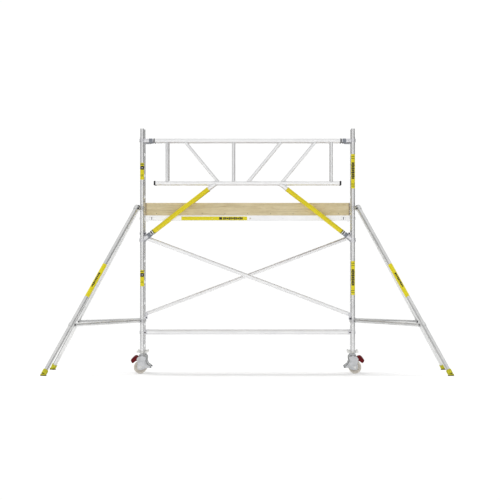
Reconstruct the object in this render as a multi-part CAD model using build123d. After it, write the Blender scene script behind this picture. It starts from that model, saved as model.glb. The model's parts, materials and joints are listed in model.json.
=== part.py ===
from build123d import *
import os

# A rolling scaffold tower: two ladder ends in two lifts, braces, a boarded platform, clip-on guardrail
# frames, four outriggers and four braked casters. Millimetres, +X along the bay, +Y to the back,
# +Z up. The origin is on the floor, under the middle of the tower.

# ---- driving sizes ----
bay_length = 2500.0          # post axis to post axis along X
frame_width = 750.0          # post axis to post axis along Y
tube_d = 50.8                # posts, rails, horizontal braces and outrigger legs
tube_wall = 2.0
frame_height = 1270.0        # one lift
rung_d = 45.0
rung_pitch = 254.0
rung_first = 51.0            # first rung above the frame's lower end
rung_count = 5
spigot_length = 100.0
spigot_seat = 90.0           # length held inside its own post
spigot_relief = 2.0          # half width of the groove where it leaves the post
spigot_relief_depth = 1.0
spigot_chamfer = 1.2

# clearances
fit_gap = 0.05               # radial, a plug or pin in its bore
free_gap = 0.3               # between pieces that only lie together
spigot_gap = 0.1             # radial, a spigot in the next lift's post

# claw castings
jaw_wall = 6.0
jaw_lip = 10.0
lip_ease = 0.4               # keeps the lips off the round of the jaw
neck_thinner = 2.8           # necks, struts and diagonals are this much thinner than the main tubes
rail_jaw_height = 44.0
strut_jaw_height = 46.0
brace_jaw_height = 36.0
lug_jaw_height = 28.0

# guardrail frames
rail_drop = 44.0             # top rail below the posts' upper ends
rail_spacing = 504.0         # between the two rails
rail_end_short = 145.0       # the lower rail stops this far from the post axis
rail_web_d = 36.0
# webs as shares of half the bay: upright ones, then slanted ones as (lower end, upper end)
rail_posts = (-0.764, -0.1344, 0.7952)
rail_diagonals = ((-0.2696, -0.6032), (-0.0056, 0.3272), (0.3192, 0.6528))
strut_reach = 873.0          # how far along the bay a strut runs from its post
strut_claw_drop = 259.0      # its claw below the rung that carries the platform
sleeve_wall = 2.0
sleeve_start = 158.0
sleeve_length = 832.0
claw_neck_end = 80.0
trigger_start = 82.0
trigger_end = 123.0
trigger_thicker = 4.0        # over the neck
trigger_grooves = (92.0, 102.5, 113.0)
groove_half = 2.0
groove_depth = 1.0
ring_start = 135.0
ring_end = 149.0
shank_thinner = 8.0          # under the neck
plug_depth = 40.0
tongue_tip = 27.0            # from the post axis, on a level claw
tongue_tip_slanted = 22.0
tongue_gap = 1.2
tongue_hold = 12.0           # length of the tongue under its grip
tongue_width = 8.0
tongue_thick = 6.8
cap_length = 15.0

# braces
horizontal_drop = 84.0       # below the second rung
horizontal_start = 60.0
diagonal_low_rise = 114.0    # over the second rung, where its axis would meet the post axis
diagonal_high_rise = 38.0    # over the upper lift's first rung
diagonal_gap = 1.2           # between its side and the posts' sides
diagonal_claw_drop = 52.0
lug_reach = 24.6             # the castings' lugs stop this far past the post's side
lug_start = 60.0
lug_inner = 27.0
lug_trim = 10.0
button_stem_d = 11.0
button_head_d = 19.0
button_offset = 8.6          # its axis past the post's side
button_proud = 10.6          # its face in front of the post's side
button_head_thick = 6.0
button_stem_depth = 14.0

# platform
platform_narrower = 90.0     # than the frame
platform_shorter = 74.0      # than the bay
beam_height = 65.0
beam_width = 30.0
beam_wall = 2.5
deck_rise = 33.0             # its top over the axis of the rung that carries it
deck_thick = 12.0
crossbar_count = 5
crossbar_height = 40.0
crossbar_width = 30.0
hatch_length = 600.0
hatch_narrower = 160.0       # than the platform
hatch_end = 453.0            # its middle from the platform's end
hatch_gap = 2.0
grip_length = 120.0
grip_width = 32.0
grip_inset = 30.0
hinge_d = 9.0
hinge_length = 60.0
hinge_pin_d = 4.0
hinge_leaf = 3.0             # thickness
hinge_leaf_width = 40.0      # on the hatch
hinge_fixed_width = 32.0     # on the deck
toe_height = 150.0
toe_thick = 18.0
hook_width = 34.0
hook_wall = 12.0
hook_inset = 90.0            # from the platform's edge
hook_rung = 6                # counted over both lifts, from 0
latch_inset = 180.0
latch_thick = 5.0
latch_width = 34.0
latch_pin_d = 8.0

# outriggers, measured along the radius from the post axis
leg_top_radius = 79.0
leg_top_rise = 25.0          # over the upper coupler
leg_foot_radius = 1609.0     # where the leg axis would meet the floor
leg_end_z = 22.0
arm_d = 42.0
arm_fall = 0.0358            # drop of the arm for each millimetre outwards
arm_rise = 10.0              # over the lower coupler, at the post axis
arm_start = 48.0
coupler_high_rise = 118.0    # over the rung that carries the platform
coupler_high_height = 40.0
coupler_low_rise = 47.0      # over the second rung
coupler_low_height = 30.0
coupler_wall = 7.5
coupler_width = 32.0
collar_wall = 6.0
collar_length = 44.0
clamp_bolt_d = 12.0
foot_pad_d = 72.0
foot_pad_height = 26.0
foot_sleeve_wall = 6.0
foot_sleeve_top = 66.0

# screw jacks and casters
stem_room = 10.8             # a stem is this much thinner than the posts' bore
stem_inside = 250.0
nut_height = 24.0
nut_thicker = 17.2           # than the posts
nut_wing_span = 130.0
nut_wing_thick = 10.0
jack_gap = 41.0              # from the caster's top to the posts' lower ends
wheel_d = 150.0
wheel_width = 44.0
axle_d = 16.0
outline_wheel_d = 150.0      # the wheel that the caster's outlines and heights below are told for
swivel_height = 226.0
trail = 25.0
cheek_thick = 5.0
cheek_gap = 60.0             # between the two cheeks of a caster
pedal_pin_d = 10.0
pedal_pin_place = (52.0, 168.0)  # outwards of the swivel axis, above the floor
pedal_width = 54.0
crown_outer = 34.0
crown_inner = 46.0
crown_low = 176.0
crown_high = 205.0
race_d = 76.0
race_sink = 5.0
tie_near = 80.0
tie_far = 94.0
tie_low = 68.0
tie_high = 80.0
axle_proud = 5.0
wheel_side_gap = 1.5
wheel_top_gap = 6.0
tread_round = 6.0
dish_depth = 7.0
dish_d = 112.0
boss_d = 48.0
hub_d = 34.0

# ---- worked out ----
half_bay = bay_length / 2
half_width = frame_width / 2
caster_scale = wheel_d / outline_wheel_d
swivel_top = swivel_height * caster_scale
wheel_trail = trail * caster_scale
pedal_pin = (pedal_pin_place[0] * caster_scale, pedal_pin_place[1] * caster_scale)
frame_base = swivel_top + jack_gap
post_r = tube_d / 2
bore_r = post_r - tube_wall
jaw_r = post_r + free_gap
jaw_outer_r = jaw_r + jaw_wall
frame_joint = frame_base + frame_height
frame_top = frame_joint + frame_height
rung_levels = [base + rung_first + i * rung_pitch for base in (frame_base, frame_joint)
               for i in range(rung_count)]
hook_level = rung_levels[hook_rung]
neck_d = tube_d - neck_thinner
strut_d = neck_d
diagonal_d = neck_d
trigger_d = neck_d + trigger_thicker
shank_d = neck_d - shank_thinner
stem_d = 2 * bore_r - stem_room
nut_d = tube_d + nut_thicker
rail_top_z = frame_top - rail_drop
rail_bottom_z = rail_top_z - rail_spacing
rail_bottom_end = half_bay - rail_end_short
strut_foot_x = half_bay - strut_reach
strut_claw_z = hook_level - strut_claw_drop
horizontal_z = rung_levels[1] - horizontal_drop
diagonal_low_z = rung_levels[1] + diagonal_low_rise
diagonal_high_z = rung_levels[rung_count] + diagonal_high_rise
diagonal_inset = tube_d + diagonal_gap
lug_end = post_r + lug_reach
button_inward = post_r + button_offset
button_front = post_r + button_proud
platform_end = (bay_length - platform_shorter) / 2
platform_edge = (frame_width - platform_narrower) / 2
deck_top = hook_level + deck_rise
beam_low = deck_top - beam_height
hatch_width = 2 * platform_edge - hatch_narrower
hatch_centre_x = hatch_end - platform_end
hook_y = platform_edge - hook_inset
latch_y = platform_edge - latch_inset
coupler_high_z = hook_level + coupler_high_rise
coupler_low_z = rung_levels[1] + coupler_low_rise
leg_top = (leg_top_radius, coupler_high_z + leg_top_rise)
arm_axis_z = coupler_low_z + arm_rise
corners = {"front_left": (-1, -1), "front_right": (1, -1), "rear_left": (-1, 1), "rear_right": (1, 1)}


# ---- small shapes ----
def at(side, face, inward, inner, z):
    """A point told from a post: inward along X to mid-bay, inner along Y to mid-width."""
    return Vector(side * (half_bay - inward), face * (half_width - inner), z)


def rod(a, b, d):
    axis = Vector(b) - Vector(a)
    bar = Cylinder(d / 2, axis.length, align=(Align.CENTER, Align.CENTER, Align.MIN))
    return Plane(origin=a, z_dir=axis) * bar


def pipe(a, b, d, wall):
    return rod(a, b, d) - rod(a, b, d - 2 * wall)


def block(a, b):
    a = Vector(a)
    b = Vector(b)
    middle = (a + b) / 2
    size = b - a
    return Pos(middle.X, middle.Y, middle.Z) * Box(abs(size.X), abs(size.Y), abs(size.Z))


def along(a, b, distance):
    return Vector(a) + (Vector(b) - Vector(a)).normalized() * distance


def save(name, pieces):
    solids = [solid for piece in pieces for solid in piece.solids()]
    shape = solids[0] if len(solids) == 1 else Compound(children=solids)
    export_step(shape, f"parts/{name}.step")


# ---- ladder frames ----
def spigot(post_top):
    """A pipe held in the post's upper end, with a groove where it leaves the post and a free upper part."""
    seat = post_top - Vector(0, 0, spigot_seat)
    tip = post_top + Vector(0, 0, spigot_length)
    groove_low = post_top - Vector(0, 0, spigot_relief)
    groove_high = post_top + Vector(0, 0, spigot_relief)
    free_d = 2 * (bore_r - spigot_gap)
    shape = rod(seat, groove_low, 2 * (bore_r - fit_gap))
    shape += rod(seat, groove_high, free_d - 2 * spigot_relief_depth)
    upper = rod(groove_high, tip, free_d)
    shape += chamfer(upper.edges().group_by(Axis.Z)[-1], spigot_chamfer)
    return shape - rod(seat, tip, free_d - 2 * tube_wall)


def ladder_frame(side, base):
    pieces = []
    shells = []
    for face in (-1, 1):
        low = at(side, face, 0, 0, base)
        high = at(side, face, 0, 0, base + frame_height)
        pieces.append(pipe(low, high, tube_d, tube_wall))
        shells.append(rod(low, high, tube_d))
        pieces.append(spigot(high))
    for i in range(rung_count):
        z = base + rung_first + i * rung_pitch
        rung = pipe(at(side, -1, 0, 0, z), at(side, 1, 0, 0, z), rung_d, tube_wall)
        pieces.append(rung - shells[0] - shells[1])
    return pieces


# ---- claw that grips a post over half its round ----
def jaw(side, face, z, height, grip):
    """grip is 1 when the jaw lies on the inner side of the post, -1 on the outer side.

    The room for the post is cut once, from the whole casting.
    """
    low = at(side, face, 0, 0, z - height / 2)
    high = at(side, face, 0, 0, z + height / 2)
    reach = 2 * jaw_outer_r
    shape = rod(low, high, reach)
    shape -= block(at(side, face, -reach, 0, z - height), at(side, face, reach, -grip * reach, z + height))
    for way in (-1, 1):
        shape += block(at(side, face, way * (jaw_r + lip_ease), grip, z - height / 2),
                       at(side, face, way * (jaw_outer_r - lip_ease), -grip * jaw_lip, z + height / 2))
    return shape


def post_clearance(side, face, z, height):
    return rod(at(side, face, 0, 0, z - height), at(side, face, 0, 0, z + height), 2 * jaw_r)


# ---- guardrail frames ----
def strut_ends(side, face):
    post_point = at(side, face, 0, 0, strut_claw_z)
    rail_point = Vector(side * strut_foot_x, face * half_width, rail_bottom_z)
    return post_point, rail_point


def guardrail(face):
    y = face * half_width
    top_a = Vector(-(half_bay - ring_end), y, rail_top_z)
    top_b = Vector(half_bay - ring_end, y, rail_top_z)
    low_a = Vector(-rail_bottom_end, y, rail_bottom_z)
    low_b = Vector(rail_bottom_end, y, rail_bottom_z)
    rails = [rod(top_a, top_b, tube_d), rod(low_a, low_b, tube_d)]
    pieces = [pipe(top_a, top_b, tube_d, tube_wall), pipe(low_a, low_b, tube_d, tube_wall)]
    webs = [(share, share) for share in rail_posts] + list(rail_diagonals)
    for low_share, high_share in webs:
        web = pipe(Vector(low_share * half_bay, y, rail_bottom_z), Vector(high_share * half_bay, y, rail_top_z),
                   rail_web_d, tube_wall)
        pieces.append(web - rails[0] - rails[1])
    for side in (-1, 1):
        post_point, rail_point = strut_ends(side, face)
        strut = pipe(along(post_point, rail_point, ring_end), rail_point, strut_d, tube_wall)
        pieces.append(strut - rails[1])
    return pieces


def guardrail_claw(side, face, post_point, far_point, tube_outer_d, jaw_height):
    z = post_point.Z
    shape = rod(along(post_point, far_point, 15), along(post_point, far_point, claw_neck_end), neck_d)
    rung_side = block(at(side, face, -60, jaw_lip - 1.5, z - 80), at(side, face, rung_d / 2 + 2.5, 60, z + 80))
    shape -= rung_side
    shape += jaw(side, face, z, jaw_height, -1)
    shape -= post_clearance(side, face, z, 4 * jaw_height)
    shape += rod(along(post_point, far_point, claw_neck_end - 1), along(post_point, far_point, ring_end + 1),
                 shank_d)
    plug_d = tube_outer_d - 2 * tube_wall - 2 * fit_gap
    shape += rod(along(post_point, far_point, ring_end), along(post_point, far_point, ring_end + plug_depth),
                 plug_d)
    return shape


def trigger(post_point, far_point):
    start = along(post_point, far_point, trigger_start)
    end = along(post_point, far_point, trigger_end)
    direction = (far_point - post_point).normalized()
    sleeve = rod(start, end, trigger_d) - rod(start, end, shank_d + 2 * free_gap)
    for distance in trigger_grooves:
        groove_a = along(post_point, far_point, distance - groove_half)
        groove_b = along(post_point, far_point, distance + groove_half)
        sleeve -= rod(groove_a, groove_b, 2 * trigger_d) - rod(groove_a, groove_b, trigger_d - 2 * groove_depth)
    # the lock tongue lies under the claw's neck and reaches to the post
    down = Vector(direction.Z, 0, -direction.X) if direction.X > 0 else Vector(-direction.Z, 0, direction.X)
    tip = tongue_tip if abs(direction.Z) < 0.01 else tongue_tip_slanted
    tongue_length = trigger_start + tongue_hold - tip
    below = neck_d / 2 + tongue_gap + tongue_thick / 2
    middle = post_point + direction * (tip + tongue_length / 2) + down * below
    bar = Box(tongue_width, tongue_thick, tongue_length)
    tongue = Plane(origin=middle, x_dir=(0, 1, 0), z_dir=direction) * bar
    core = rod(along(post_point, far_point, trigger_start), along(post_point, far_point, trigger_end),
               shank_d + 2 * free_gap)
    return sleeve + (tongue - core)


def guardrail_joints():
    """Every claw of the two guardrail frames: name, side, face, post point, far point, tube, jaw height."""
    claws = []
    for corner, (side, face) in corners.items():
        rail_post = at(side, face, 0, 0, rail_top_z)
        rail_far = Vector(0, face * half_width, rail_top_z)
        claws.append((f"trigger_rail_{corner}", side, face, rail_post, rail_far, tube_d,
                      rail_jaw_height))
        post_point, rail_point = strut_ends(side, face)
        claws.append((f"trigger_strut_{corner}", side, face, post_point, rail_point, strut_d,
                      strut_jaw_height))
    return claws


def guardrails():
    save("guardrail_front", guardrail(-1))
    save("guardrail_rear", guardrail(1))
    claws = []
    trim = []
    sleeves = []
    for name, side, face, post_point, far_point, outer_d, height in guardrail_joints():
        claws.append(guardrail_claw(side, face, post_point, far_point, outer_d, height))
        trim.append(rod(along(post_point, far_point, ring_start), along(post_point, far_point, ring_end),
                        trigger_d) - rod(along(post_point, far_point, ring_start - 1),
                                         along(post_point, far_point, ring_end + 1), shank_d))
        save(name, [trigger(post_point, far_point)])
        if outer_d == strut_d:
            start = along(post_point, far_point, sleeve_start)
            end = along(post_point, far_point, sleeve_start + sleeve_length)
            sleeves.append(pipe(start, end, strut_d + 2 * sleeve_wall, sleeve_wall - fit_gap))
    for side, face in corners.values():
        tip = Vector(side * rail_bottom_end, face * half_width, rail_bottom_z)
        cap = rod(tip, tip + Vector(side * cap_length / 2, 0, 0), tube_d)
        cap = fillet(cap.edges().sort_by(Axis.X)[-1 if side > 0 else 0], 2)
        cap += rod(tip, tip - Vector(side * cap_length, 0, 0), 2 * (bore_r - fit_gap))
        trim.append(cap)
    save("guardrail_claws", claws)
    save("guardrail_trim", trim)
    save("strut_sleeves", sleeves)


# ---- braces ----
def button_hole(side, face, z):
    return rod(at(side, face, button_inward, -60, z), at(side, face, button_inward, -9, z),
               button_stem_d + 2 * free_gap)


def brace_button(side, face, z):
    head_back = button_front - button_head_thick
    head = rod(at(side, face, button_inward, -button_front, z), at(side, face, button_inward, -head_back, z),
               button_head_d)
    stem = rod(at(side, face, button_inward, -head_back - 1, z), at(side, face, button_inward, -button_stem_depth, z),
               button_stem_d)
    return head + stem


def horizontal_claw(side, face):
    z = horizontal_z
    shape = rod(at(side, face, 15, 0, z), at(side, face, horizontal_start, 0, z), neck_d)
    shape += rod(at(side, face, horizontal_start - 1, 0, z),
                 at(side, face, horizontal_start + plug_depth, 0, z), 2 * (bore_r - fit_gap))
    shape += jaw(side, face, z, brace_jaw_height, 1)
    shape -= post_clearance(side, face, z, neck_d)
    return shape - button_hole(side, face, z)


def diagonal_line(face):
    """The front brace falls from left to right and the rear one rises."""
    high_side = -1 if face < 0 else 1
    y_inner = diagonal_inset
    high = at(high_side, face, 0, y_inner, diagonal_high_z)
    low = at(-high_side, face, 0, y_inner, diagonal_low_z)
    return high_side, high, low


def diagonal_claw(side, face, post_point, far_point, up):
    """up is 1 where the claw lies above the tube's end and -1 where it lies below."""
    end_z = along(post_point, far_point, 48).Z
    z = end_z + up * diagonal_claw_drop
    half = lug_jaw_height / 2
    shape = jaw(side, face, z, lug_jaw_height, 1)
    shape += block(at(side, face, jaw_r, -neck_d / 2, z - half), at(side, face, 42, 28, z + half))
    shape += block(at(side, face, 6, lug_inner, z - half), at(side, face, lug_end, diagonal_inset - lug_trim,
                                                             z + half))
    shape += block(at(side, face, rung_d / 2 + 1.5, lug_inner, end_z - up * 12),
                   at(side, face, lug_end, diagonal_inset - lug_trim, z + up * half))
    shape += rod(along(post_point, far_point, 38), along(post_point, far_point, lug_start + plug_depth),
                 diagonal_d - 2 * tube_wall - 2 * fit_gap)
    shape -= post_clearance(side, face, z, 60)
    return shape - button_hole(side, face, z), z


def braces():
    tubes = []
    claws = []
    for face, word in ((-1, "front"), (1, "rear")):
        tubes.append(pipe(at(-1, face, horizontal_start, 0, horizontal_z),
                          at(1, face, horizontal_start, 0, horizontal_z), tube_d, tube_wall))
        claws += [horizontal_claw(-1, face), horizontal_claw(1, face)]
        save(f"brace_lock_horizontal_{word}", [brace_button(-1, face, horizontal_z),
                                               brace_button(1, face, horizontal_z)])
    save("horizontal_braces", tubes)
    tubes = []
    for face, word in ((-1, "front"), (1, "rear")):
        high_side, high, low = diagonal_line(face)
        tubes.append(pipe(along(high, low, lug_start), along(low, high, lug_start), diagonal_d, tube_wall))
        high_claw, high_z = diagonal_claw(high_side, face, high, low, 1)
        low_claw, low_z = diagonal_claw(-high_side, face, low, high, -1)
        claws += [high_claw, low_claw]
        save(f"brace_lock_diagonal_{word}", [brace_button(high_side, face, high_z),
                                             brace_button(-high_side, face, low_z)])
    save("diagonal_braces", tubes)
    save("brace_claws", claws)


# ---- platform ----
def hollow_beam(a, b, axis):
    """A box beam between two corners, open at its ends along the named axis."""
    a = Vector(a)
    b = Vector(b)
    wall = Vector(beam_wall, beam_wall, beam_wall)
    low = Vector(min(a.X, b.X), min(a.Y, b.Y), min(a.Z, b.Z))
    high = Vector(max(a.X, b.X), max(a.Y, b.Y), max(a.Z, b.Z))
    inner_low = low + wall
    inner_high = high - wall
    if axis == "x":
        inner_low.X = low.X - 1
        inner_high.X = high.X + 1
    else:
        inner_low.Y = low.Y - 1
        inner_high.Y = high.Y + 1
    return block(low, high) - block(inner_low, inner_high)


def platform_hook(side, y):
    z = rung_levels[hook_rung]
    hook_r = rung_d / 2 + free_gap
    near = y - hook_width / 2
    far = y + hook_width / 2
    x = side * half_bay
    ring = rod((x, near, z), (x, far, z), 2 * (hook_r + hook_wall))
    ring -= block((x - 60, near - 1, z), (x + 60, far + 1, z - 60))
    lip = block((x + side * hook_r, near, z - 16), (x + side * (hook_r + hook_wall), far, z + 1))
    arm = block((side * platform_end, near, z - 8), (x - side * 12, far, z + hook_r + hook_wall))
    shape = ring + lip + arm
    return shape - rod((x, near - 1, z), (x, far + 1, z), 2 * hook_r) - block(
        (x - side * hook_r, near - 1, z + 1), (x + side * hook_r, far + 1, z - 60))


def platform():
    inner_edge = platform_edge - beam_width
    pieces = []
    for way in (-1, 1):
        pieces.append(hollow_beam((-platform_end, way * inner_edge, beam_low),
                                  (platform_end, way * platform_edge, deck_top), "x"))
        end_beam = hollow_beam((way * (platform_end - beam_width), -inner_edge, beam_low + 5),
                               (way * platform_end, inner_edge, deck_top - 5), "y")
        pieces.append(end_beam)
        for y in (-hook_y, hook_y):
            pieces.append(platform_hook(way, y))
        pin_x = way * (platform_end - beam_width / 2)
        pin = rod((pin_x, way * latch_y, beam_low + 5), (pin_x, way * latch_y, beam_low - 4), latch_pin_d)
        pin += rod((pin_x, way * latch_y, beam_low - 0.6), (pin_x, way * latch_y, beam_low - 5), 16)
        pieces.append(pin)
    span = 2 * (platform_end - beam_width)
    for i in range(crossbar_count):
        x = -span / 2 + (i + 1) * span / (crossbar_count + 1)
        if abs(x - hatch_centre_x) > hatch_length / 2 + crossbar_width:
            top = deck_top - deck_thick
            pieces.append(hollow_beam((x - crossbar_width / 2, -inner_edge, top - crossbar_height),
                                      (x + crossbar_width / 2, inner_edge, top), "y"))
    ledge = hatch_length / 2
    for way in (-1, 1):
        x = hatch_centre_x + way * (ledge + 8)
        top = deck_top - deck_thick
        pieces.append(hollow_beam((x - 20, -inner_edge, top - crossbar_height),
                                  (x + 20, inner_edge, top), "y"))
    save("platform_frame", pieces)
    deck = block((-platform_end + beam_width, -inner_edge, deck_top - deck_thick),
                 (platform_end - beam_width, inner_edge, deck_top))
    deck -= block((hatch_centre_x - hatch_length / 2, -hatch_width / 2, 0),
                  (hatch_centre_x + hatch_length / 2, hatch_width / 2, 2 * deck_top))
    hatch = block((hatch_centre_x - hatch_length / 2 + hatch_gap, -hatch_width / 2 + hatch_gap,
                   deck_top - deck_thick + free_gap),
                  (hatch_centre_x + hatch_length / 2 - hatch_gap, hatch_width / 2 - hatch_gap, deck_top))
    hinge_z = deck_top + hinge_d / 2 + free_gap
    hinge_y = hatch_width / 2 - hatch_gap / 2
    for way in (-1, 1):
        x = hatch_centre_x + way * hatch_length / 4
        third = hinge_length / 3
        barrel = rod((x - third / 2 + free_gap, hinge_y, hinge_z), (x + third / 2 - free_gap, hinge_y, hinge_z),
                     hinge_d)
        leaf = block((x - third / 2 + free_gap, hinge_y - hinge_leaf_width, deck_top),
                     (x + third / 2 - free_gap, hinge_y, deck_top + hinge_leaf))
        bore = rod((x - third, hinge_y, hinge_z), (x + third, hinge_y, hinge_z), hinge_pin_d + 2 * fit_gap)
        hatch += (barrel + leaf) - bore
        # the deck's edge is notched under the hatch's barrel
        deck -= block((x - third / 2, 0, 0), (x + third / 2, hinge_y + hinge_d / 2 + 1, deck_top + 1))
        fixed = rod((x - 1.5 * third, hinge_y, hinge_z), (x + 1.5 * third, hinge_y, hinge_z), hinge_pin_d)
        for end in (-1, 1):
            fixed += rod((x + end * third / 2, hinge_y, hinge_z), (x + end * 1.5 * third, hinge_y, hinge_z),
                         hinge_d)
            fixed += block((x + end * third / 2, hinge_y, deck_top),
                           (x + end * 1.5 * third, hinge_y + hinge_fixed_width, deck_top + hinge_leaf))
        deck += fixed
    grip = block((hatch_centre_x - grip_length / 2, -hatch_width / 2 + grip_inset, 0),
                 (hatch_centre_x + grip_length / 2, -hatch_width / 2 + grip_inset + grip_width, 2 * deck_top))
    grip = fillet(grip.edges().filter_by(Axis.Z), grip_width / 2 - 1)
    save("platform_deck", [deck])
    save("hatch", [hatch - grip])
    boards = []
    for way in (-1, 1):
        boards.append(block((-platform_end, way * (platform_edge - toe_thick), deck_top),
                            (platform_end, way * platform_edge, deck_top + toe_height)))
        boards.append(block((way * (platform_end - toe_thick), -platform_edge + toe_thick, deck_top),
                            (way * platform_end, platform_edge - toe_thick, deck_top + toe_height)))
    save("toe_boards", boards)


def wind_lock(side):
    pin_x = side * (platform_end - beam_width / 2)
    y = side * latch_y
    top = beam_low + 5 - free_gap
    plate = block((pin_x - side * 14, y - latch_width / 2, top - latch_thick),
                  (side * (half_bay + 12), y + latch_width / 2, top))
    plate = fillet(plate.edges().filter_by(Axis.Z), 10)
    return plate - rod((pin_x, y, top + 1), (pin_x, y, top - 20), latch_pin_d + 2 * fit_gap)


# ---- outriggers ----
def radial(corner, radius, across, z):
    """A point out from a post at 45 degrees in plan, with a sideways shift."""
    side, face = corner
    root = 0.5 ** 0.5
    x = side * (half_bay + radius * root) - side * across * root
    y = face * (half_width + radius * root) + face * across * root
    return Vector(x, y, z)


def radial_block(corner, radius_a, radius_b, width, z_low, z_high):
    a = radial(corner, radius_a, 0, (z_low + z_high) / 2)
    b = radial(corner, radius_b, 0, (z_low + z_high) / 2)
    bar = Box(width, z_high - z_low, (b - a).length, align=(Align.CENTER, Align.CENTER, Align.MIN))
    side, face = corner
    return Plane(origin=a, x_dir=(-side, face, 0), z_dir=b - a) * bar


def leg_radius(z):
    slope = (leg_foot_radius - leg_top[0]) / leg_top[1]
    return leg_top[0] + (leg_top[1] - z) * slope


def arm_z(radius):
    return arm_axis_z - arm_fall * radius


def post_ring(corner, z, height):
    side, face = corner
    low = at(side, face, 0, 0, z - height / 2)
    high = at(side, face, 0, 0, z + height / 2)
    room = rod(low - Vector(0, 0, 1), high + Vector(0, 0, 1), 2 * jaw_r)
    return rod(low, high, 2 * (jaw_r + coupler_wall)), room


def cross_bolt(corner, radius, z, d, length):
    return rod(radial(corner, radius, -length / 2, z), radial(corner, radius, length / 2, z), d)


def outrigger(corner):
    top = radial(corner, leg_top[0], 0, leg_top[1])
    end = radial(corner, leg_radius(leg_end_z), 0, leg_end_z)
    leg = pipe(top, end, tube_d, tube_wall)
    solid_leg = rod(along(top, end, -10), along(end, top, -10), tube_d)
    pieces = [leg]
    # upper coupler: a ring on the post, a neck and a collar round the leg
    ring, hole = post_ring(corner, coupler_high_z, coupler_high_height)
    reach = leg_radius(coupler_high_z)
    neck = radial_block(corner, 25, reach, coupler_width, coupler_high_z - 18, coupler_high_z + 18)
    middle = radial(corner, reach, 0, coupler_high_z)
    distance = (middle - top).length
    first = along(top, end, distance - collar_length / 2)
    last = along(top, end, distance + collar_length / 2)
    collar = rod(first, last, tube_d + 2 * collar_wall)
    coupler = ring + neck + collar + cross_bolt(corner, 46, coupler_high_z, clamp_bolt_d, 66)
    coupler += cross_bolt(corner, reach, coupler_high_z, clamp_bolt_d, tube_d + 2 * collar_wall + 16)
    pieces.append(coupler - hole - solid_leg)
    # knee: a collar round the leg and a lug that takes the arm
    knee_z = arm_z(leg_radius(arm_axis_z))
    knee = leg_radius(knee_z)
    middle = radial(corner, knee, 0, knee_z)
    distance = (middle - top).length
    first = along(top, end, distance - collar_length / 2)
    last = along(top, end, distance + collar_length / 2)
    lug_start = knee - 70
    lug = radial_block(corner, lug_start, knee, 28, knee_z - 20, knee_z + 20)
    plug_d = arm_d - 2 * tube_wall - 2 * fit_gap
    arm_from = radial(corner, arm_start, 0, arm_z(arm_start))
    arm_to = radial(corner, lug_start, 0, arm_z(lug_start))
    lug += rod(along(arm_to, arm_from, -10), along(arm_to, arm_from, plug_depth), plug_d)
    lug += cross_bolt(corner, knee - 45, knee_z, 16, 46)
    pieces.append(rod(first, last, tube_d + 2 * collar_wall) + lug - solid_leg)
    pieces.append(pipe(arm_from, arm_to, arm_d, tube_wall))
    # lower coupler
    ring, hole = post_ring(corner, coupler_low_z, coupler_low_height)
    neck = radial_block(corner, 25, arm_start, coupler_width, coupler_low_z - coupler_low_height / 2,
                        coupler_low_z + coupler_low_height / 2)
    neck += rod(along(arm_from, arm_to, -6), along(arm_from, arm_to, plug_depth), plug_d)
    neck += cross_bolt(corner, 40, coupler_low_z, clamp_bolt_d, 60)
    pieces.append(ring + neck - hole)
    return pieces


def outrigger_foot(corner):
    top = radial(corner, leg_top[0], 0, leg_top[1])
    end = radial(corner, leg_radius(leg_end_z), 0, leg_end_z)
    centre = radial(corner, leg_radius(leg_end_z) + 6, 0, 0)
    pad = rod(centre, centre + Vector(0, 0, foot_pad_height), foot_pad_d)
    pad = fillet(pad.edges().group_by(Axis.Z)[-1], 5)
    sleeve_end = radial(corner, leg_radius(foot_sleeve_top), 0, foot_sleeve_top)
    sleeve = rod(end, sleeve_end, tube_d + 2 * foot_sleeve_wall)
    return pad + sleeve - rod(end, top, tube_d)


# ---- screw jacks and casters ----
def jack(corner):
    side, face = corner
    stem = rod(at(side, face, 0, 0, swivel_top), at(side, face, 0, 0, frame_base + stem_inside), stem_d)
    plate = rod(at(side, face, 0, 0, swivel_top), at(side, face, 0, 0, swivel_top + 8), 60)
    return stem + plate


def jack_nut(corner):
    side, face = corner
    top = frame_base - free_gap
    low = top - nut_height
    body = rod(at(side, face, 0, 0, low), at(side, face, 0, 0, top), nut_d)
    wing_low = at(side, face, -nut_wing_span / 2, -nut_wing_thick / 2, low + 2)
    wing_high = at(side, face, nut_wing_span / 2, nut_wing_thick / 2, top)
    body += block(wing_low, wing_high)
    for way in (-1, 1):
        body += block(at(side, face, way * (nut_wing_span / 2 - 16), -nut_wing_thick / 2, low + 2),
                      at(side, face, way * nut_wing_span / 2, nut_wing_thick / 2, top + 7))
    return body - rod(at(side, face, 0, 0, low - 1), at(side, face, 0, 0, top + 1), stem_d + 2 * free_gap)


def side_plate(corner, outline, y_low, y_high):
    """An outline in outward distance and height, given thickness across the tower."""
    side, face = corner
    points = [(side * (half_bay + out * caster_scale), z * caster_scale) for out, z in outline]
    face_shape = Plane.XZ * make_face(Polyline(*points, close=True))
    solid = extrude(face_shape, y_high - y_low)
    return Pos(0, face * half_width + y_high, 0) * solid


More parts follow.
